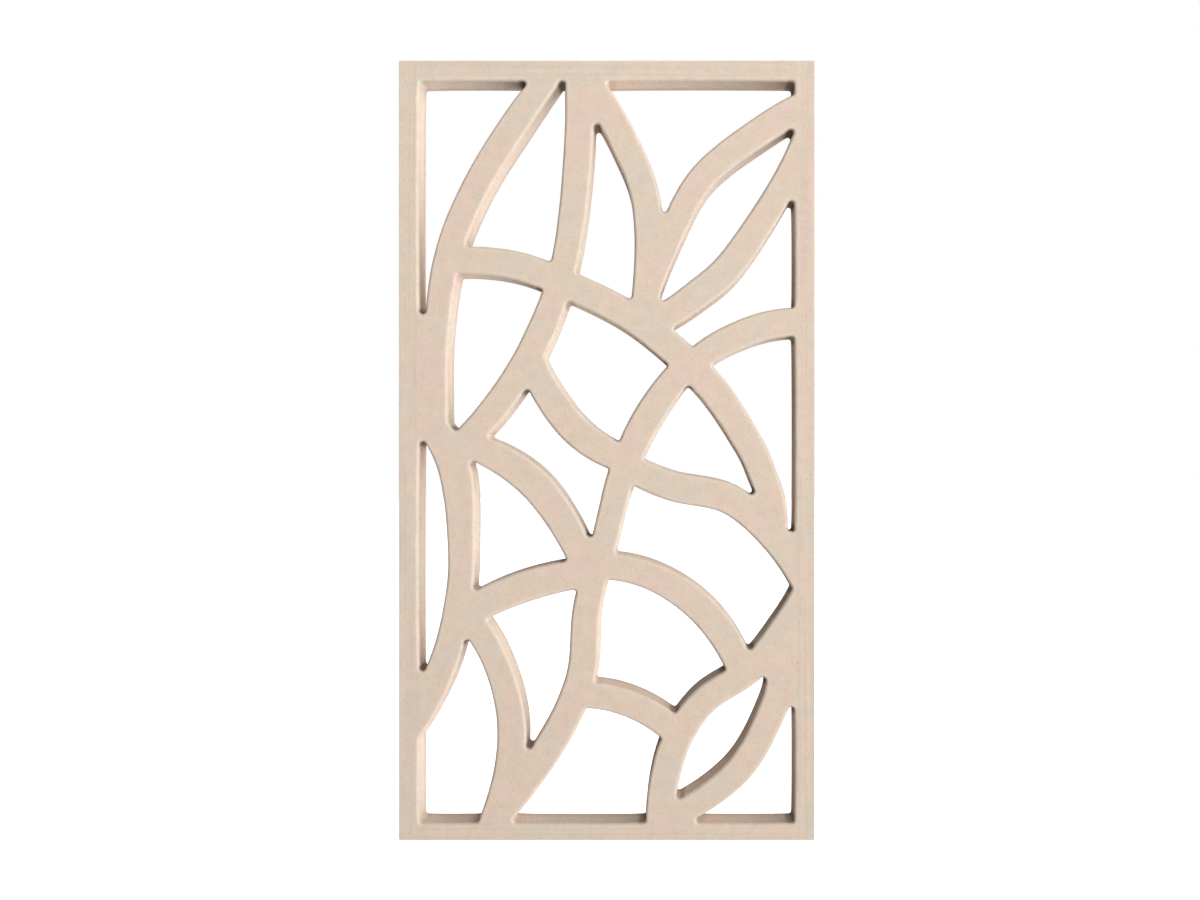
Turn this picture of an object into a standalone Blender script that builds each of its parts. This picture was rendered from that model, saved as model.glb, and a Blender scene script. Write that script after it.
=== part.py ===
"""Jali screen panel: one thick board, routed right through in a pattern of crossing ribs.

Metres, +Z up. The panel stands upright with its front towards -Y. The origin is in the
middle of the bottom edge, half-way through the thickness.
"""

import math

import bmesh
import bpy
from mathutils import Vector
from mathutils.geometry import intersect_point_line

# The board and the plain border left round its pattern.
WIDTH = 0.480
HEIGHT = 0.900
THICKNESS = 0.030
STILE = 0.024
TOP_RAIL = 0.024
BOTTOM_RAIL = 0.020

# The ribs of the pattern.
RIB_WIDTH = 0.033
STEPS_PER_SPAN = 8

# The router bit leaves this radius in every inner corner of an opening.
BIT_RADIUS = 0.003
ARC_STEP = math.radians(30)
HALVINGS = 30

# The front edge of every opening is rounded over.
ROUND_OVER_RADIUS = 0.004
ROUND_OVER_STEPS = 2

# How far the cutters reach past the board, and how far each past the one before.
CUT_OVERSHOOT = 0.004
OVERSHOOT_STEP = 0.0005

# Two edges of an outline meet in a corner where they turn by more than this.
SHARP_ANGLE = math.radians(25)
SHORTEST_EDGE = 0.0004

# Middle line of each rib, drawn by its guide points: distance from the panel's left side,
# height above its bottom edge, and width as a share of RIB_WIDTH. A smooth curve passes
# through the points. Both ends are buried in the border or in another rib.
RIBS = {
    "left_sweep": [
        (0.197, 0.909, 0.65),
        (0.146, 0.846, 1.00),
        (0.089, 0.756, 1.00),
        (0.056, 0.674, 0.98),
        (0.043, 0.588, 0.93),
        (0.039, 0.510, 1.08),
        (0.048, 0.458, 0.66),
    ],
    "left_bow": [
        (0.024, 0.489, 0.95),
        (0.063, 0.432, 1.18),
        (0.072, 0.335, 0.97),
        (0.066, 0.263, 0.98),
        (0.046, 0.192, 1.04),
        (0.004, 0.119, 1.09),
    ],
    "middle_sweep": [
        (0.206, 0.900, 1.00),
        (0.207, 0.796, 1.04),
        (0.191, 0.667, 0.97),
        (0.155, 0.569, 1.03),
        (0.107, 0.495, 1.00),
        (0.056, 0.446, 0.88),
    ],
    "cross_sweep": [
        (0.048, 0.668, 0.96),
        (0.128, 0.665, 1.02),
        (0.202, 0.638, 1.03),
        (0.280, 0.596, 1.05),
        (0.356, 0.528, 1.08),
        (0.403, 0.459, 1.03),
        (0.420, 0.422, 1.00),
        (0.432, 0.386, 0.96),
        (0.434, 0.350, 0.86),
    ],
    "centre_bowl": [
        (0.154, 0.566, 0.82),
        (0.165, 0.527, 1.05),
        (0.207, 0.471, 1.10),
        (0.263, 0.439, 0.98),
    ],
    "long_stem": [
        (0.339, 0.556, 0.92),
        (0.291, 0.494, 1.07),
        (0.259, 0.427, 1.00),
        (0.237, 0.344, 0.95),
        (0.217, 0.268, 1.00),
        (0.209, 0.185, 1.05),
        (0.171, 0.104, 1.05),
        (0.097, 0.006, 0.88),
    ],
    "crown_arc": [
        (0.214, 0.880, 1.00),
        (0.260, 0.806, 1.03),
        (0.287, 0.725, 1.03),
        (0.282, 0.600, 1.03),
    ],
    "upper_leaf_top": [
        (0.478, 0.852, 1.00),
        (0.425, 0.824, 1.04),
        (0.351, 0.766, 0.98),
        (0.311, 0.692, 0.93),
        (0.284, 0.612, 0.72),
    ],
    "upper_leaf_bottom": [
        (0.477, 0.836, 0.98),
        (0.449, 0.766, 0.95),
        (0.389, 0.672, 1.06),
        (0.344, 0.630, 1.06),
        (0.287, 0.593, 0.94),
    ],
    "right_shoulder": [
        (0.485, 0.597, 1.00),
        (0.429, 0.595, 1.02),
        (0.373, 0.574, 0.98),
        (0.336, 0.546, 0.90),
    ],
    "left_shoulder": [
        (0.070, 0.460, 0.88),
        (0.143, 0.423, 1.14),
        (0.191, 0.365, 1.11),
        (0.219, 0.298, 0.88),
    ],
    "left_arch": [
        (0.060, 0.249, 1.00),
        (0.129, 0.287, 1.12),
        (0.217, 0.309, 1.02),
    ],
    "right_hook": [
        (0.256, 0.437, 0.94),
        (0.312, 0.410, 1.06),
        (0.383, 0.393, 1.08),
        (0.438, 0.345, 1.08),
        (0.476, 0.285, 1.04),
    ],
    "right_arch": [
        (0.210, 0.315, 0.94),
        (0.288, 0.306, 1.00),
        (0.356, 0.260, 1.08),
        (0.400, 0.185, 1.00),
    ],
    "lower_left_sweep": [
        (0.066, 0.270, 1.00),
        (0.113, 0.202, 0.96),
        (0.130, 0.110, 1.05),
        (0.101, 0.004, 0.96),
    ],
    "low_arch": [
        (0.204, 0.167, 0.94),
        (0.269, 0.156, 0.97),
        (0.328, 0.117, 1.00),
    ],
    "lower_leaf_top": [
        (0.300, 0.009, 0.96),
        (0.314, 0.098, 1.07),
        (0.349, 0.157, 1.00),
        (0.406, 0.197, 0.97),
        (0.447, 0.246, 1.05),
        (0.471, 0.286, 1.05),
    ],
    "lower_leaf_bottom": [
        (0.301, 0.021, 0.85),
        (0.389, 0.077, 0.98),
        (0.434, 0.156, 1.02),
        (0.446, 0.208, 1.22),
        (0.464, 0.265, 1.20),
    ],
}


def board_material():
    """Pale peach fibreboard, dull and not metallic."""
    material = bpy.data.materials.new("pale_fibreboard")
    material.use_nodes = True
    shader = material.node_tree.nodes["Principled BSDF"]
    shader.inputs["Base Color"].default_value = (0.73, 0.60, 0.48, 1.0)
    shader.inputs["Roughness"].default_value = 0.72
    shader.inputs["Metallic"].default_value = 0.0
    return material


def new_object(name, shape):
    """Link a new mesh object made from a bmesh with its normals facing out."""
    bmesh.ops.recalc_face_normals(shape, faces=shape.faces)
    mesh = bpy.data.meshes.new(name)
    shape.to_mesh(mesh)
    shape.free()
    made = bpy.data.objects.new(name, mesh)
    bpy.context.scene.collection.objects.link(made)
    return made


def block(name, left, right, bottom, top, depth):
    """A rectangular block, its depth centred on the panel's middle plane."""
    shape = bmesh.new()
    bmesh.ops.create_cube(shape, size=1.0)
    size = Vector((right - left, depth, top - bottom))
    bmesh.ops.scale(shape, vec=size, verts=shape.verts)
    centre = Vector(((left + right) / 2, 0.0, (bottom + top) / 2))
    bmesh.ops.translate(shape, vec=centre, verts=shape.verts)
    return new_object(name, shape)


def span_point(before, start, end, after, t):
    """Point at t on the Catmull-Rom curve that runs from start to end."""
    steady = 2 * start
    slope = (end - before) * t
    bend = (2 * before - 5 * start + 4 * end - after) * t**2
    twist = (3 * start - before - 3 * end + after) * t**3
    return (steady + slope + bend + twist) / 2


def smooth_line(guides):
    """Points of the smooth curve through the guides, each with x, z and width."""
    first = 3 * guides[0] - 3 * guides[1] + guides[2]
    last = 3 * guides[-1] - 3 * guides[-2] + guides[-3]
    padded = [first, *guides, last]
    line = []
    for index in range(len(guides) - 1):
        for step in range(STEPS_PER_SPAN):
            line.append(span_point(*padded[index : index + 4], step / STEPS_PER_SPAN))
    line.append(guides[-1])
    return line


def rib_outline(line):
    """Closed outline of a rib: up one side of its middle line and back down the other."""
    right_side = []
    left_side = []
    for index, point in enumerate(line):
        ahead = line[min(index + 1, len(line) - 1)]
        behind = line[max(index - 1, 0)]
        along = (ahead - behind).to_2d().normalized()
        across = Vector((along.y, -along.x)) * point.z / 2
        right_side.append(point.to_2d() + across)
        left_side.append(point.to_2d() - across)
    return right_side + left_side[::-1]


def prism(name, outline, depth):
    """Extrude an outline, drawn in X and Z, evenly about the panel's middle plane."""
    shape = bmesh.new()
    corners = [shape.verts.new((x, -depth / 2, z)) for x, z in outline]
    cap = shape.faces.new(corners)
    grown = bmesh.ops.extrude_face_region(shape, geom=[cap])
    back = [item for item in grown["geom"] if isinstance(item, bmesh.types.BMVert)]
    bmesh.ops.translate(shape, vec=(0.0, depth, 0.0), verts=back)
    return new_object(name, shape)


def cut(target, cutter):
    """Boolean difference, kept live on the target."""
    modifier = target.modifiers.new(cutter.name, "BOOLEAN")
    modifier.operation = "DIFFERENCE"
    modifier.solver = "EXACT"
    modifier.object = cutter


def finished_mesh(target):
    """The target's mesh with its modifiers applied."""
    bpy.context.view_layer.update()
    graph = bpy.context.evaluated_depsgraph_get()
    return bpy.data.meshes.new_from_object(target.evaluated_get(graph))


def remove_objects(objects):
    """Delete these objects from the file."""
    for old in list(objects):
        bpy.data.objects.remove(old, do_unlink=True)


def is_front(face):
    """Whether a face looks out of the panel's front."""
    return face.normal.y < -0.9


def front_outlines(mesh):
    """Closed outlines, in X and Z, of a mesh's front faces, anticlockwise from the front."""
    shape = bmesh.new()
    shape.from_mesh(mesh)
    following = {}
    for face in filter(is_front, shape.faces):
        for corner in face.loops:
            if not is_front(corner.link_loop_radial_next.face):
                following[corner.vert.index] = corner.link_loop_next.vert.index
    places = [vert.co.xz for vert in shape.verts]
    shape.free()
    outlines = []
    while following:
        first = next(iter(following))
        outline = []
        index = first
        while index in following:
            outline.append(places[index])
            index = following.pop(index)
        outlines.append(outline)
    return outlines


def without_tiny_edges(outline):
    """The outline less every point that is too close to the one before it."""
    kept = []
    for point in outline:
        if not kept or (point - kept[-1]).length > SHORTEST_EDGE:
            kept.append(point)
    if (kept[0] - kept[-1]).length < SHORTEST_EDGE:
        kept.pop()
    return kept


def sides_of(outline):
    """Cut an outline at its corners into sides, each running from corner to corner."""
    corners = []
    for index, point in enumerate(outline):
        arriving = point - outline[index - 1]
        leaving = outline[(index + 1) % len(outline)] - point
        if arriving.angle(leaving) > SHARP_ANGLE:
            corners.append(index)
    sides = []
    for start, end in zip(corners, corners[1:] + [corners[0] + len(outline)]):
        sides.append([outline[index % len(outline)] for index in range(start, end + 1)])
    return sides


def nearest(point, line):
    """The nearest place on a polyline, after the number of the stretch it lies on."""
    found = []
    for number, (start, end) in enumerate(zip(line, line[1:])):
        spot, share = intersect_point_line(point, start, end)
        if share < 0:
            spot = start
        elif share > 1:
            spot = end
        found.append(((spot.xy - point).length, number, spot.xy))
    return min(found, key=lambda entry: entry[0])[1:]


def walk(line, distance):
    """The place at a distance along a polyline, and the direction there."""
    for start, end in zip(line, line[1:]):
        stretch = end - start
        if distance <= stretch.length:
            break
        distance -= stretch.length
    along = stretch.normalized()
    return start + along * min(distance, stretch.length), along


def bit_centre(arriving, leaving):
    """Where the router bit stands when it touches both sides of a corner."""
    backwards = arriving[::-1]
    near = 0.0
    far = sum((end - start).length for start, end in zip(arriving, arriving[1:]))
    for _ in range(HALVINGS):
        middle = (near + far) / 2
        touched, along = walk(backwards, middle)
        centre = touched + BIT_RADIUS * Vector((along.y, -along.x))
        if (nearest(centre, leaving)[1] - centre).length < BIT_RADIUS:
            near = middle
        else:
            far = middle
    return centre


def arc(centre, start, end):
    """Points from start to end, both included, anticlockwise round the centre."""
    first = start - centre
    turn = (end - centre).angle_signed(first) % (2 * math.pi)
    steps = max(2, math.ceil(turn / ARC_STEP))
    points = []
    for step in range(steps + 1):
        angle = math.atan2(first.y, first.x) + turn * step / steps
        points.append(centre + BIT_RADIUS * Vector((math.cos(angle), math.sin(angle))))
    return points


def routed(outline):
    """The outline as the router cuts it, with the bit's radius in every corner."""
    sides = sides_of(without_tiny_edges(outline))
    centres = [bit_centre(sides[index - 1], side) for index, side in enumerate(sides)]
    rounded = []
    for index, side in enumerate(sides):
        _, arrived = nearest(centres[index], sides[index - 1])
        first, left = nearest(centres[index], side)
        last, _ = nearest(centres[(index + 1) % len(sides)], side)
        rounded += arc(centres[index], arrived, left)
        rounded += side[first + 1 : last + 1]
    return without_tiny_edges(rounded)


def opening_outlines():
    """Outlines of the openings: the window in the border less all the ribs that cross it."""
    window = block(
        "window",
        STILE - WIDTH / 2,
        WIDTH / 2 - STILE,
        BOTTOM_RAIL,
        HEIGHT - TOP_RAIL,
        THICKNESS,
    )
    ribs = []
    for number, (name, guides) in enumerate(RIBS.items(), start=1):
        points = [
            Vector((x - WIDTH / 2, z, share * RIB_WIDTH)) for x, z, share in guides
        ]
        depth = THICKNESS + CUT_OVERSHOOT + number * OVERSHOOT_STEP
        rib = prism(name, rib_outline(smooth_line(points)), depth)
        cut(window, rib)
        ribs.append(rib)
    outlines = front_outlines(finished_mesh(window))
    remove_objects([window, *ribs])
    return [routed(outline) for outline in outlines]


def widened(outline, distance):
    """The outline moved by a distance into the material all round."""
    moved = []
    for index, point in enumerate(outline):
        arriving = (point - outline[index - 1]).normalized()
        leaving = (outline[(index + 1) % len(outline)] - point).normalized()
        across = Vector((arriving.y + leaving.y, -arriving.x - leaving.x))
        moved.append(point + across * 2 * distance / across.length_squared)
    return moved


def round_over_profile():
    """The edge's profile: steps of distance into the material and depth below the front."""
    profile = []
    for step in range(ROUND_OVER_STEPS + 1):
        angle = math.pi / 2 * step / ROUND_OVER_STEPS
        distance = ROUND_OVER_RADIUS * (1 - math.sin(angle))
        depth = ROUND_OVER_RADIUS * (1 - math.cos(angle))
        profile.append((distance, depth))
    return profile


def router_cuts(outlines):
    """Cutter for all openings, each flared at the front to leave a rounded edge."""
    above = (ROUND_OVER_RADIUS, -CUT_OVERSHOOT)
    below = (0.0, THICKNESS + CUT_OVERSHOOT)
    shape = bmesh.new()
    for outline in outlines:
        rings = []
        for distance, depth in [above, *round_over_profile(), below]:
            y = depth - THICKNESS / 2
            ring = [shape.verts.new((x, y, z)) for x, z in widened(outline, distance)]
            rings.append(ring)
        shape.faces.new(rings[0])
        shape.faces.new(rings[-1])
        for upper, lower in zip(rings, rings[1:]):
            for index in range(len(outline)):
                corners = (upper[index - 1], upper[index], lower[index], lower[index - 1])
                shape.faces.new(corners)
    return new_object("router_cuts", shape)


def build_panel():
    """The finished board with its openings cut through."""
    panel = block("jali_panel", -WIDTH / 2, WIDTH / 2, 0.0, HEIGHT, THICKNESS)
    cutter = router_cuts(opening_outlines())
    cut(panel, cutter)
    panel.data = finished_mesh(panel)
    panel.modifiers.clear()
    remove_objects([cutter])
    panel.data.name = panel.name
    panel.data.materials.clear()
    panel.data.materials.append(board_material())
    panel.data.shade_smooth()
    panel.data.set_sharp_from_angle(angle=SHARP_ANGLE)
    return panel


remove_objects(bpy.data.objects)
build_panel()
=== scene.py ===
"""Looks of the jali screen panel: the routed board, bare fibreboard, and a white studio.

The board is built again from the outlines of the CAD solid, as one finer mesh that keeps the CAD
size. Metres, +Z up, with the front of the panel towards -Y.
"""

import math

import bpy
import numpy as np
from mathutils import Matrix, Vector, noise
from mathutils.geometry import delaunay_2d_cdt


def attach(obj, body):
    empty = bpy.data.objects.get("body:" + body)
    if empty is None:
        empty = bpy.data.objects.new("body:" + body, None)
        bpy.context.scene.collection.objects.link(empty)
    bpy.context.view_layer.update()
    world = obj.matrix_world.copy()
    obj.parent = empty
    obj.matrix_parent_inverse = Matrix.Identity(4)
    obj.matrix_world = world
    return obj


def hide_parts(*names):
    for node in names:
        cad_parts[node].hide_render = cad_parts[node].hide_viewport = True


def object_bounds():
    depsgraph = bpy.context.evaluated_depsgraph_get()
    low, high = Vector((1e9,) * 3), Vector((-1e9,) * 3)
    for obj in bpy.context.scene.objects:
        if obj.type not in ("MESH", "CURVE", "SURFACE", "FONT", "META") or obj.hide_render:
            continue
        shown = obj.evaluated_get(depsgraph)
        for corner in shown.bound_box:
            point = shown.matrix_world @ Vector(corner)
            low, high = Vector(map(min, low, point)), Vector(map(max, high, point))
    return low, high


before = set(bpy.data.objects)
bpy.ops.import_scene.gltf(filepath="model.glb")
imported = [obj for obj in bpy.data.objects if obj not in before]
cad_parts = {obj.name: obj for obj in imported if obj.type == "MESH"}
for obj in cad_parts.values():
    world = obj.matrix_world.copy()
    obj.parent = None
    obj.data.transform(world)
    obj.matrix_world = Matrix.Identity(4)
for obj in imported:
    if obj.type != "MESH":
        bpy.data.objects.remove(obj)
CAD_LOW, CAD_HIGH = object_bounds()

# Reading the CAD walls: decimals that tell points apart, and how squarely a face looks back.
PLACE_DIGITS = 6
LEAST_BACKWARD = 0.9

# Shape of the board's mesh. A straight facet of the CAD outline is cut into steps of at most the
# point spacing, and into the fewest steps unless they would be shorter than the shortest step.
POINT_SPACING = 0.0038
FEWEST_STEPS = 3
SHORTEST_STEP = 0.0003
ROUND_OVER_RADIUS = 0.004
ROUND_OVER_STEPS = 6
EASED_RADIUS = 0.0007
EASED_STEPS = 3
RADIUS_CHANGE = 0.2
RADIUS_CHANGE_SCALE = 45.0
OUTER_CORNER_RADIUS = 0.0015
OUTER_CORNER_STEPS = 5

# Rings on the faces beside every edge, which carry the distance from it.
RINGS_AT_OPENINGS = (0.0035, 0.0012)
RINGS_AT_BORDER = (0.0005,)

# Filling of the faces: the kind of result asked for, and how near points count as one.
FILL_INSIDE_LOOPS = 1
FILL_TOLERANCE = 0.0000001

# Painted shade darkens the walls where the cut turns sharply within this length to each side.
CORNER_REACH = 0.008
LEAST_CORNER_TURN = math.radians(35)
FULL_CORNER_TURN = math.radians(120)

# Corners that point to the left, which the light from the right reaches, get less painted shade:
# sideways share of the direction where that starts and where it is complete, and the share of the
# painted shade that is left there.
LEFTWARD_FROM = 0.2
LEFTWARD_FULL = 0.7
LEFTWARD_CORNER_SHADE = 0.15

# The board stays a hair inside the CAD box, so that rounding can't take it outside.
BOX_CLEARANCE = 0.000001

# The router cuts in three passes, and each leaves the wall a hair further in or out.
PASS_DEPTHS = (0.0, 0.00008, 0.00003)
PASS_BLEND = 0.0003
PASS_TILT = math.radians(12)

# Colours of the fibreboard, in linear red, green and blue.
FACE_TINTS = (
    (0.34, (0.740, 0.626, 0.520)),
    (0.45, (0.757, 0.629, 0.503)),
    (0.55, (0.788, 0.620, 0.497)),
    (0.66, (0.782, 0.612, 0.514)),
)
STREAK_TINTS = ((0.34, (0.945, 0.965, 0.975)), (0.66, (1.03, 1.03, 1.02)))
FLECK_COLOUR = (0.50, 0.36, 0.27, 1.0)
CORE_TINT = (0.88, 0.872, 0.885, 1.0)
# Painted shade in tight corners of the walls: its dark brown and how strongly it is laid on.
CORNER_SHADE_COLOUR = (0.13, 0.075, 0.05, 1.0)
CORNER_SHADE_STRENGTH = 0.8
WORN_COLOUR = (0.80, 0.71, 0.61, 1.0)

# Brightness of each layer, as (position in the pattern, value) stops.
BLOTCH_STOPS = ((0.3, 0.955), (0.7, 1.04))
FIBRE_STOPS = ((0.32, 0.93), (0.68, 1.06))
FLECK_STOPS = ((0.66, 0.0), (0.74, 0.55))
CHATTER_STOPS = ((0.3, 0.90), (0.7, 1.07))
# Painted shade on the walls, darker towards the back of the board.
DEPTH_SHADE_STOPS = ((0.6, 1.0), (0.94, 0.78))
WORN_STOPS = ((0.42, 0.12), (0.62, 0.5))
FACE_ROUGHNESS_STOPS = ((0.3, 0.64), (0.7, 0.78))

# Where each layer lies: against how squarely the surface looks forward or back, against the
# distance from an edge as a share of the outer ring's, and against the distance from the sides
# and from the top or bottom of the board.
ON_WALL_STOPS = ((0.45, 1.0), (0.97, 0.0))
AT_EDGE_STOPS = ((0.0, 1.0), (0.6, 0.0))
ON_STILE_STOPS = ((0.021, 1.0), (0.027, 0.0))
ON_RAIL_STOPS = ((0.018, 1.0), (0.024, 0.0))

# Scales of the patterns, in cycles a metre.
TINT_SCALE = 19.0
ROUGHNESS_SCALE = 45.0
WORN_SCALE = 60.0
BLOTCH_SCALE = 70.0
FLECK_SCALE = 520.0
FIBRE_SCALE = 1100.0
GRAIN_SCALE = 1400.0
RAIL_STREAK_SCALE = (3.5, 1.0, 210.0)
STILE_STREAK_SCALE = (210.0, 1.0, 3.5)
CHATTER_SCALE = (900.0, 40.0, 1.0)

# Surface of the fibreboard.
WALL_ROUGHNESS = (0.9, 0.9, 0.9, 1.0)
SPECULAR_LEVEL = 0.2
BUMP_STRENGTH = 0.35
BUMP_DISTANCE = 0.0004

# Camera, as far from the front face as the photograph's perspective asks.
CAMERA_DISTANCE = 1.06
CAMERA_RIGHT = 0.085
CAMERA_HEIGHT = 0.4477
FRAME_HEIGHT_AT_PANEL = 1.0385
FRAME_ASPECT = 4 / 3
SENSOR_WIDTH = 36.0
FRAME_LEFT_SHIFT = 0.067
FRAME_UP_SHIFT = 0.002

# Studio. The surroundings shine more towards the lean, as a power of one plus its share.
WHITE = (1.0, 1.0, 1.0, 1.0)
AMBIENT = 0.49
AMBIENT_LEAN = (0.875, 0.352, -0.268)
AMBIENT_POWER = 2.45
LIGHT_TARGET = (0.0, 0.0, 0.45)
KEY_PLACE = (0.81, -3.30, 1.26)
KEY_SIZE = (1.4, 1.8)
KEY_POWER = 73.0

# In the board's own plane and narrow, so that they reach an outer edge and no inner wall.
SIDE_PLACE = (-3.0, 0.0, 0.45)
SIDE_SIZE = (0.05, 1.6)
SIDE_POWER = 30.0
TOP_PLACE = (0.0, 0.0, 3.45)
TOP_SIZE = (1.2, 0.05)
TOP_POWER = 24.0

# Floor, which the camera sees as plain white and which casts no light on the panel.
FLOOR_SIZE = 16.0
FLOOR_GAP = 0.0005
FLOOR_COLOUR = (0.6, 0.6, 0.6, 1.0)
FLOOR_ROUGHNESS = 0.9
FLOOR_SPECULAR_LEVEL = 0.1


def wall_outlines(node):
    """Closed outlines in X and Z of the CAD solid's back, where its walls are cut square.

    Seen from the front, each has the material on its left.
    """
    mesh = node.data
    mesh.calc_loop_triangles()
    places = np.array([vert.co for vert in mesh.vertices])
    places, welded = np.unique(np.round(places, PLACE_DIGITS), axis=0, return_inverse=True)
    triangles = [welded.ravel()[list(tri.vertices)] for tri in mesh.loop_triangles]
    edges = set()
    for tri in triangles:
        a, b, c = places[tri]
        normal = np.cross(b - a, c - a)
        if normal[1] > LEAST_BACKWARD * np.linalg.norm(normal):
            edges |= {(tri[1], tri[0]), (tri[2], tri[1]), (tri[0], tri[2])}
    following = {a: b for a, b in sorted(edges) if (b, a) not in edges}
    outlines = []
    while following:
        index = next(iter(following))
        outline = []
        while index in following:
            outline.append(Vector((places[index][0], places[index][2])))
            index = following.pop(index)
        outlines.append(outline)
    return outlines


def area_of(outline):
    """Area inside an outline, positive where it runs anticlockwise seen from the front."""
    total = 0.0
    for a, b in zip(outline, outline[1:] + outline[:1]):
        total += a.cross(b)
    return total / 2


def curve_point(points, times, time):
    """Place on the centripetal Catmull-Rom curve through four points, in the middle span."""
    level = list(points)
    for span in (1, 2, 3):
        for index in range(4 - span):
            if span == 1:
                start, end = times[index], times[index + 1]
            elif span == 2:
                start, end = times[index], times[index + 2]
            else:
                start, end = times[1], times[2]
            share = (time - start) / (end - start)
            level[index] = level[index].lerp(level[index + 1], share)
    return level[0]


def smoothed(outline):
    """The outline with curved spans of short, even steps in place of its straight facets."""
    smooth = []
    count = len(outline)
    for index in range(count):
        points = [outline[(index + step) % count] for step in (-1, 0, 1, 2)]
        times = [0.0]
        for a, b in zip(points, points[1:]):
            times.append(times[-1] + math.sqrt((b - a).length))
        length = (points[2] - points[1]).length
        fewest = min(FEWEST_STEPS, max(1, int(length / SHORTEST_STEP)))
        steps = max(fewest, math.ceil(length / POINT_SPACING))
        for step in range(steps):
            time = times[1] + (times[2] - times[1]) * step / steps
            smooth.append(curve_point(points, times, time))
    return smooth


def board_outline():
    """The board's outer outline, its four corners a little rounded."""
    outline = []
    inset = OUTER_CORNER_RADIUS
    middle = inset + BOX_CLEARANCE
    corners = (
        (CAD_HIGH.x - middle, CAD_LOW.z + middle, -90),
        (CAD_HIGH.x - middle, CAD_HIGH.z - middle, 0),
        (CAD_LOW.x + middle, CAD_HIGH.z - middle, 90),
        (CAD_LOW.x + middle, CAD_LOW.z + middle, 180),
    )
    for x, z, first_angle in corners:
        for step in range(OUTER_CORNER_STEPS + 1):
            angle = math.radians(first_angle + 90 * step / OUTER_CORNER_STEPS)
            outline.append(Vector((x + inset * math.cos(angle), z + inset * math.sin(angle))))
    dense = []
    for a, b in zip(outline, outline[1:] + outline[:1]):
        steps = max(1, math.ceil((b - a).length / POINT_SPACING))
        dense += [a.lerp(b, step / steps) for step in range(steps)]
    return dense


def away_from_material(outline):
    """At each point of an outline, the direction in X and Z that leaves the material."""
    directions = []
    for index, point in enumerate(outline):
        ahead = outline[(index + 1) % len(outline)]
        behind = outline[index - 1]
        along = (ahead - point).normalized() + (point - behind).normalized()
        along.normalize()
        directions.append(Vector((along.y, -along.x)))
    return directions


def heading(outline, index, reach, step):
    """Direction of the outline at the given length before or after a point."""
    count = len(outline)
    gone = 0.0
    while gone < reach:
        here = outline[index % count]
        there = outline[(index + step) % count]
        gone += (there - here).length
        index += step
    return (there - here) * step


def corner_shade_for_way(before, after):
    """How much of its painted shade a corner keeps: little where it points to the left, into the
    light.
    """
    points = (before.normalized() - after.normalized()).normalized()
    leftward = (-points.x - LEFTWARD_FROM) / (LEFTWARD_FULL - LEFTWARD_FROM)
    return 1.0 - (1.0 - LEFTWARD_CORNER_SHADE) * min(1.0, max(0.0, leftward))


def corner_shares(outline):
    """At each point, how much painted shade the corner gets: 0 on a gentle curve, up to 1 in a
    tight corner.

    A corner of the board itself turns the other way, and counts as 0.
    """
    shares = []
    for index in range(len(outline)):
        before = heading(outline, index, CORNER_REACH, -1)
        after = heading(outline, index, CORNER_REACH, 1)
        turn = before.angle_signed(after)
        share = (turn - LEAST_CORNER_TURN) / (FULL_CORNER_TURN - LEAST_CORNER_TURN)
        shares.append(min(1.0, max(0.0, share)) * corner_shade_for_way(before, after))
    return shares


def quarter_round(radius, steps):
    """Points round an edge from face to wall: (inset, depth, angle of the normal)."""
    points = []
    for step in range(steps + 1):
        angle = math.pi / 2 * step / steps
        inset = radius * (1 - math.sin(angle))
        points.append((inset, radius * (1 - math.cos(angle)), angle))
    return points


def wall_profile(front_edge, back_edge, rings):
    """Across the thickness from front to back: (Y, inset, normal's angle, distance from edge).

    The angle is 0 on the front face, a right angle on the wall and twice that on the back.
    """
    front = CAD_LOW.y
    back = CAD_HIGH.y
    profile = [(front, front_edge[0][0] + ring, 0.0, ring) for ring in rings]
    profile += [(front + depth, inset, angle, 0.0) for inset, depth, angle in front_edge]
    pass_height = (back - front) / len(PASS_DEPTHS)
    for number in range(1, len(PASS_DEPTHS)):
        line = front + number * pass_height
        before = PASS_DEPTHS[number - 1]
        after = PASS_DEPTHS[number]
        tilt = math.copysign(PASS_TILT, before - after)
        profile.append((line - PASS_BLEND, before, math.pi / 2, 0.0))
        profile.append((line, (before + after) / 2, math.pi / 2 + tilt, 0.0))
        profile.append((line + PASS_BLEND, after, math.pi / 2, 0.0))
    for inset, depth, angle in reversed(back_edge):
        profile.append((back - depth, inset + PASS_DEPTHS[-1], math.pi - angle, 0.0))
    last_inset = profile[-1][1]
    profile += [(back, last_inset + ring, math.pi, ring) for ring in reversed(rings)]
    return profile


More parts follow.
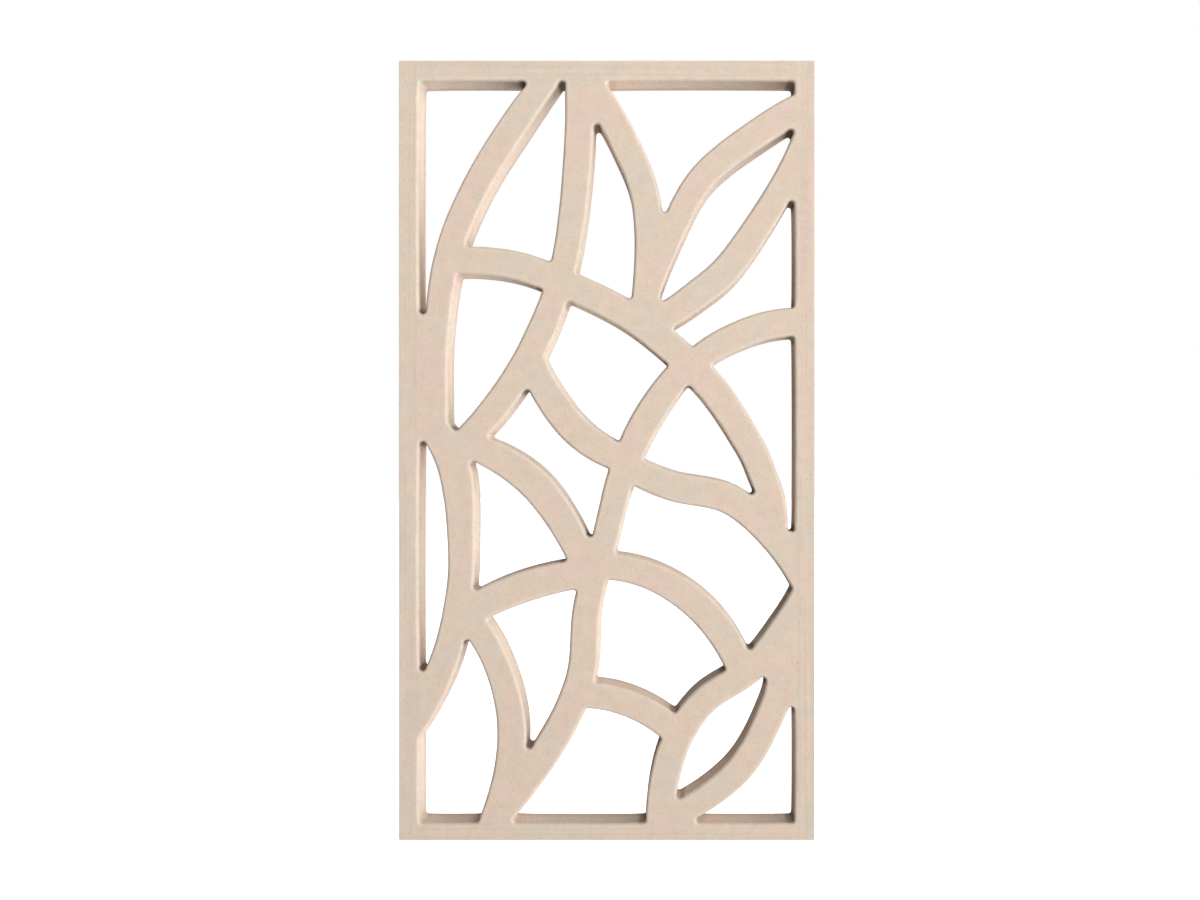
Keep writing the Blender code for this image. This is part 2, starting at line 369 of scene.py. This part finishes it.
class BoardMesh:
    """Gathers the points, faces, normals and map of the board's mesh."""

    def __init__(self):
        self.points = []
        self.normals = []
        self.from_edge = []
        self.painted_corner_shade = []
        self.faces = []
        self.maps = []
        self.front_rings = []
        self.back_rings = []

    def add_wall(self, outline, front_radius, front_steps, rings):
        """The wall along one outline, with its two edges and a strip of each face."""
        outward = away_from_material(outline)
        corners = corner_shares(outline)
        start = len(self.points)
        along = [0.0]
        for index, (point, direction) in enumerate(zip(outline, outward)):
            place = Vector((point.x, point.y, 0.0)) * RADIUS_CHANGE_SCALE
            change = 1 + RADIUS_CHANGE * noise.noise(place)
            front_edge = quarter_round(front_radius * change, front_steps)
            back_edge = quarter_round(EASED_RADIUS * change, EASED_STEPS)
            profile = wall_profile(front_edge, back_edge, rings)
            for y, inset, angle, distance in profile:
                shifted = point - direction * inset
                self.points.append((shifted.x, y, shifted.y))
                across = direction * math.sin(angle)
                self.normals.append((across.x, -math.cos(angle), across.y))
                self.from_edge.append(distance / rings[0])
                # Share of painted corner shade at each point.
                self.painted_corner_shade.append(corners[index])
            following = outline[(index + 1) % len(outline)]
            along.append(along[-1] + (following - point).length)
        rows = len(profile)
        for index in range(len(outline)):
            here = start + index * rows
            there = start + (index + 1) % len(outline) * rows
            for row in range(rows - 1):
                self.faces.append((here + row, here + row + 1, there + row + 1, there + row))
                low = self.points[here + row][1]
                high = self.points[here + row + 1][1]
                first, last = along[index], along[index + 1]
                self.maps += [(first, low), (first, high), (last, high), (last, low)]
        self.front_rings.append([start + index * rows for index in range(len(outline))])
        self.back_rings.append([ring + rows - 1 for ring in self.front_rings[-1]])

    def fill_faces(self):
        """Fill the front and the back between the innermost rings, the border's being the first."""
        front = [index for ring in self.front_rings for index in ring]
        back = [index for ring in self.back_rings for index in ring]
        loops = []
        for ring in self.front_rings:
            start = sum(len(loop) for loop in loops)
            loop = list(range(start, start + len(ring)))
            # The rings of the openings run clockwise, and a loop has to run the other way.
            loops.append(loop[::-1] if loops else loop)
        flat = [Vector(self.points[index]).xz for index in front]
        filled = delaunay_2d_cdt(flat, [], loops, FILL_INSIDE_LOOPS, FILL_TOLERANCE)
        _, _, triangles, sources, _, loops_round = filled
        for triangle, inside in zip(triangles, loops_round):
            if inside != [0]:
                continue
            corners = [sources[corner][0] for corner in triangle]
            for numbers, order in ((front, corners), (back, corners[::-1])):
                self.faces.append(tuple(numbers[corner] for corner in order))
                for corner in order:
                    x, _, z = self.points[numbers[corner]]
                    self.maps.append((x, z))

    def made(self, name):
        """The finished mesh, with smooth shading from the gathered normals."""
        mesh = bpy.data.meshes.new(name)
        mesh.from_pydata(self.points, [], self.faces)
        mesh.shade_smooth()
        mesh.normals_split_custom_set_from_vertices(self.normals)
        for layer_name, values in (("from_edge", self.from_edge), ("painted_corner_shade", self.painted_corner_shade)):
            layer = mesh.attributes.new(layer_name, "FLOAT", "POINT")
            layer.data.foreach_set("value", values)
        layer = mesh.uv_layers.new(name="along_wall")
        layer.data.foreach_set("uv", [value for pair in self.maps for value in pair])
        return mesh


def build_board(material):
    """The whole routed board as one piece, standing for its CAD node."""
    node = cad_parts["jali_panel"]
    outlines = sorted(wall_outlines(node), key=area_of)
    shape = BoardMesh()
    shape.add_wall(board_outline(), EASED_RADIUS, EASED_STEPS, RINGS_AT_BORDER)
    for opening in outlines[:-1]:
        line = smoothed(opening)
        shape.add_wall(line, ROUND_OVER_RADIUS, ROUND_OVER_STEPS, RINGS_AT_OPENINGS)
    shape.fill_faces()
    board = bpy.data.objects.new("routed_board", shape.made("routed_board"))
    bpy.context.scene.collection.objects.link(board)
    board.data.materials.append(material)
    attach(board, "root")
    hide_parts("jali_panel")
    return board


class Nodes:
    """Short calls for building a node tree."""

    def __init__(self, tree):
        self.tree = tree
        self.tree.nodes.clear()

    def add(self, kind, inputs=(), **settings):
        """A node with its settings, and its inputs linked to sockets or set to values."""
        made = self.tree.nodes.new(kind)
        for name, value in settings.items():
            setattr(made, name, value)
        for name, value in dict(inputs).items():
            if isinstance(value, bpy.types.NodeSocket):
                self.tree.links.new(value, made.inputs[name])
            else:
                made.inputs[name].default_value = value
        return made

    def maths(self, operation, first, second=0.0):
        """The result of one operation on one or two values."""
        node = self.add("ShaderNodeMath", {0: first, 1: second}, operation=operation)
        return node.outputs[0]

    def separate(self, vector, axis):
        """One coordinate of a vector."""
        return self.add("ShaderNodeSeparateXYZ", {"Vector": vector}).outputs[axis]

    def stretch(self, place, scale):
        """A place with each of its coordinates multiplied by its own scale."""
        return self.add("ShaderNodeMapping", {"Vector": place, "Scale": scale}).outputs[0]

    def noise(self, place, scale, detail=3.0, roughness=0.5):
        """Soft noise about 0.5 at a place."""
        inputs = {"Vector": place, "Scale": scale, "Detail": detail, "Roughness": roughness}
        return self.add("ShaderNodeTexNoise", inputs).outputs["Fac"]

    def ramp(self, value, stops):
        """Colours or greys against a value, from (position, colour) stops."""
        node = self.add("ShaderNodeValToRGB", {"Fac": value})
        ramp = node.color_ramp
        while len(ramp.elements) < len(stops):
            ramp.elements.new(0.5)
        for element, (position, colour) in zip(ramp.elements, stops):
            element.position = position
            if isinstance(colour, float):
                colour = (colour, colour, colour)
            element.color = (*colour, 1.0)
        return node.outputs["Color"]

    def mix(self, share, first, second, blend="MIX"):
        """Two colours mixed. Sockets 6, 7 and 2 of the node are its colour inputs and output."""
        inputs = {"Factor": share, 6: first, 7: second}
        node = self.add("ShaderNodeMix", inputs, data_type="RGBA", blend_type=blend)
        return node.outputs[2]

    def multiply(self, first, second):
        """One colour times another."""
        return self.mix(1.0, first, second, "MULTIPLY")


def border_streaks(nodes, place):
    """Faint sanding streaks that run along the stiles and the rails, as a tint."""
    half_width = (CAD_HIGH.x - CAD_LOW.x) / 2
    half_height = (CAD_HIGH.z - CAD_LOW.z) / 2
    from_middle = nodes.maths("ABSOLUTE", nodes.separate(place, "X"))
    from_side = nodes.maths("SUBTRACT", half_width, from_middle)
    on_stile = nodes.ramp(from_side, ON_STILE_STOPS)
    height = nodes.maths("SUBTRACT", nodes.separate(place, "Z"), half_height)
    from_end = nodes.maths("SUBTRACT", half_height, nodes.maths("ABSOLUTE", height))
    on_rail = nodes.ramp(from_end, ON_RAIL_STOPS)
    tint = WHITE
    for share, scale in ((on_rail, RAIL_STREAK_SCALE), (on_stile, STILE_STREAK_SCALE)):
        streaks = nodes.noise(nodes.stretch(place, scale), 1.0, detail=2.0)
        tint = nodes.mix(share, tint, nodes.ramp(streaks, STREAK_TINTS))
    return tint


def face_colour(nodes, place):
    """Pressed face: pale, drifting between pink, straw and grey, with fibres and flecks."""
    colour = nodes.ramp(nodes.noise(place, TINT_SCALE, roughness=0.55), FACE_TINTS)
    blotches = nodes.noise(place, BLOTCH_SCALE, detail=4.0, roughness=0.6)
    colour = nodes.multiply(colour, nodes.ramp(blotches, BLOTCH_STOPS))
    fibres = nodes.noise(place, FIBRE_SCALE, detail=2.0, roughness=0.6)
    colour = nodes.multiply(colour, nodes.ramp(fibres, FIBRE_STOPS))
    colour = nodes.multiply(colour, border_streaks(nodes, place))
    flecks = nodes.noise(place, FLECK_SCALE, detail=1.0)
    return nodes.mix(nodes.ramp(flecks, FLECK_STOPS), colour, FLECK_COLOUR)


def wall_colour(nodes, face, chatter, depth):
    """Open core on the routed walls: browner and darker, with painted shade that grows towards the
    back.
    """
    core = nodes.multiply(face, CORE_TINT)
    core = nodes.multiply(core, nodes.ramp(chatter, CHATTER_STOPS))
    # Painted shade towards the back of the wall.
    return nodes.multiply(core, nodes.ramp(depth, DEPTH_SHADE_STOPS))


def fibreboard():
    """Bare pale fibreboard: mottled dense faces, an open core on the walls, rubbed edges, and
    painted shade in tight corners and towards the back of the walls.
    """
    material = bpy.data.materials.new("bare_fibreboard")
    material.use_nodes = True
    nodes = Nodes(material.node_tree)
    place = nodes.add("ShaderNodeTexCoord").outputs["Object"]
    normal = nodes.add("ShaderNodeNewGeometry").outputs["Normal"]
    on_face = nodes.maths("ABSOLUTE", nodes.separate(normal, "Y"))
    on_wall = nodes.ramp(on_face, ON_WALL_STOPS)
    along = nodes.add("ShaderNodeUVMap", uv_map="along_wall").outputs["UV"]
    chatter = nodes.noise(nodes.stretch(along, CHATTER_SCALE), 1.0, roughness=0.6)
    from_front = nodes.maths("SUBTRACT", nodes.separate(place, "Y"), CAD_LOW.y)
    depth = nodes.maths("DIVIDE", from_front, CAD_HIGH.y - CAD_LOW.y)

    face = face_colour(nodes, place)
    colour = nodes.mix(on_wall, face, wall_colour(nodes, face, chatter, depth))
    # Painted shade: tight corners of the walls go towards a dark brown.
    corner = nodes.add("ShaderNodeAttribute", attribute_name="painted_corner_shade").outputs["Fac"]
    corner_shade = nodes.maths("MULTIPLY", nodes.maths("MULTIPLY", corner, on_wall), CORNER_SHADE_STRENGTH)
    colour = nodes.mix(corner_shade, colour, CORNER_SHADE_COLOUR)
    edge = nodes.add("ShaderNodeAttribute", attribute_name="from_edge").outputs["Fac"]
    at_edge = nodes.maths("MULTIPLY", nodes.ramp(edge, AT_EDGE_STOPS), on_face)
    worn = nodes.ramp(nodes.noise(place, WORN_SCALE, detail=4.0, roughness=0.7), WORN_STOPS)
    colour = nodes.mix(nodes.maths("MULTIPLY", at_edge, worn), colour, WORN_COLOUR)

    height = nodes.mix(on_wall, nodes.noise(place, GRAIN_SCALE, detail=2.0), chatter)
    relief = {"Height": height, "Strength": BUMP_STRENGTH, "Distance": BUMP_DISTANCE}
    bump = nodes.add("ShaderNodeBump", relief).outputs[0]
    roughness = nodes.ramp(nodes.noise(place, ROUGHNESS_SCALE), FACE_ROUGHNESS_STOPS)
    roughness = nodes.mix(on_wall, roughness, WALL_ROUGHNESS)
    shader = nodes.add(
        "ShaderNodeBsdfPrincipled",
        {
            "Base Color": colour,
            "Roughness": roughness,
            "Normal": bump,
            "Specular IOR Level": SPECULAR_LEVEL,
        },
    )
    nodes.add("ShaderNodeOutputMaterial", {"Surface": shader.outputs[0]})
    return material


def surroundings():
    """White surroundings, whose light on the panel is brightest on the right.

    The camera sees plain white; the light that reaches the panel changes with direction.
    """
    world = bpy.data.worlds.new("studio")
    bpy.context.scene.world = world
    world.use_nodes = True
    nodes = Nodes(world.node_tree)
    direction = nodes.add("ShaderNodeTexCoord").outputs["Generated"]
    lean = nodes.add(
        "ShaderNodeVectorMath", {0: direction, 1: AMBIENT_LEAN}, operation="DOT_PRODUCT"
    ).outputs["Value"]
    share = nodes.maths("POWER", nodes.maths("ADD", lean, 1.0), AMBIENT_POWER)
    ambient = nodes.maths("MULTIPLY", share, AMBIENT)
    seen = nodes.add("ShaderNodeLightPath").outputs["Is Camera Ray"]
    light = nodes.add("ShaderNodeBackground", {"Color": WHITE, "Strength": ambient})
    backdrop = nodes.add("ShaderNodeBackground", {"Color": WHITE, "Strength": 1.0})
    both = nodes.add("ShaderNodeMixShader", {0: seen, 1: light.outputs[0], 2: backdrop.outputs[0]})
    nodes.add("ShaderNodeOutputWorld", {"Surface": both.outputs[0]})


def pale_floor():
    """A plain white floor just below the panel."""
    mesh = bpy.data.meshes.new("floor")
    half = FLOOR_SIZE / 2
    corners = [(-half, -half, 0.0), (half, -half, 0.0), (half, half, 0.0), (-half, half, 0.0)]
    mesh.from_pydata(corners, [], [(0, 1, 2, 3)])
    floor = bpy.data.objects.new("floor", mesh)
    floor.location.z = CAD_LOW.z - FLOOR_GAP
    floor.visible_diffuse = False
    floor.visible_glossy = False
    floor.visible_shadow = False
    bpy.context.scene.collection.objects.link(floor)
    material = bpy.data.materials.new("pale_floor")
    material.use_nodes = True
    nodes = Nodes(material.node_tree)
    shader = nodes.add(
        "ShaderNodeBsdfPrincipled",
        {
            "Base Color": FLOOR_COLOUR,
            "Roughness": FLOOR_ROUGHNESS,
            "Specular IOR Level": FLOOR_SPECULAR_LEVEL,
            "Emission Color": WHITE,
            "Emission Strength": 1.0,
        },
    )
    nodes.add("ShaderNodeOutputMaterial", {"Surface": shader.outputs[0]})
    mesh.materials.append(material)


def area_light(name, place, size, power):
    """A soft box turned to the middle of the panel, with its size as (width, height)."""
    light = bpy.data.lights.new(name, "AREA")
    light.shape = "RECTANGLE"
    light.size, light.size_y = size
    light.energy = power
    obj = bpy.data.objects.new(name, light)
    obj.location = place
    direction = Vector(LIGHT_TARGET) - obj.location
    obj.rotation_euler = direction.to_track_quat("-Z", "Y").to_euler()
    bpy.context.scene.collection.objects.link(obj)


def studio():
    """Everything round the panel: surroundings, floor and soft lights."""
    surroundings()
    pale_floor()
    area_light("key", KEY_PLACE, KEY_SIZE, KEY_POWER)
    area_light("side", SIDE_PLACE, SIDE_SIZE, SIDE_POWER)
    area_light("top", TOP_PLACE, TOP_SIZE, TOP_POWER)


def camera():
    """Looks straight at the panel, with the frame slid to the side as in the photograph."""
    data = bpy.data.cameras.new("camera")
    width_at_panel = FRAME_HEIGHT_AT_PANEL * FRAME_ASPECT
    data.sensor_width = SENSOR_WIDTH
    data.lens = SENSOR_WIDTH * CAMERA_DISTANCE / width_at_panel
    data.shift_x = -FRAME_LEFT_SHIFT
    data.shift_y = FRAME_UP_SHIFT
    obj = bpy.data.objects.new("camera", data)
    obj.location = (CAMERA_RIGHT, CAD_LOW.y - CAMERA_DISTANCE, CAMERA_HEIGHT)
    obj.rotation_euler = (math.pi / 2, 0.0, 0.0)
    bpy.context.scene.collection.objects.link(obj)
    bpy.context.scene.camera = obj


build_board(fibreboard())
studio()
camera()
bpy.context.scene.view_settings.view_transform = "Standard"
